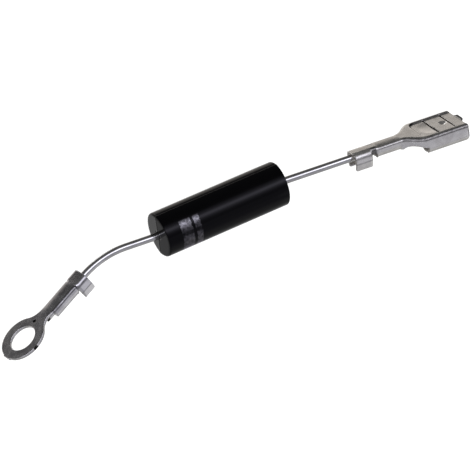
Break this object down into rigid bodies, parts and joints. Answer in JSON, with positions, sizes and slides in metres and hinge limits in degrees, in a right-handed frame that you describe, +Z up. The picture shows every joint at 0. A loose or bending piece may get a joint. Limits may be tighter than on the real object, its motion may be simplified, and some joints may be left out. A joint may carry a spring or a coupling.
{
  "type": "high-voltage diode",
  "caption": "Moulded cylindrical high-voltage diode with formed axial leads: a ring terminal crimped to the cathode lead and a push-on receptacle crimped to the anode lead.",
  "frame": {"origin": "middle of the underside of the diode's box, on the surface it lies on", "axes": "+X along the body from cathode to anode, +Y to the side that the terminals' flat backs face, +Z up"},
  "size_m": [0.087, 0.0128, 0.0078],
  "materials": {
    "body": "glossy moulded epoxy",
    "leads": "bright tinned copper",
    "ring_terminal": "tinned sheet",
    "receptacle_terminal": "tinned sheet",
    "silicon": "polished wafer",
    "solder": "dull solder",
    "coating": "soft cured coating"
  },
  "bodies": {
    "root": {"body": "body", "cathode_lead": "leads", "anode_lead": "leads", "ring_terminal": "ring_terminal", "receptacle_terminal": "receptacle_terminal", "silicon_chips": "silicon", "solder_layers": "solder", "junction_coating": "coating"}
  },
  "joints": []
}
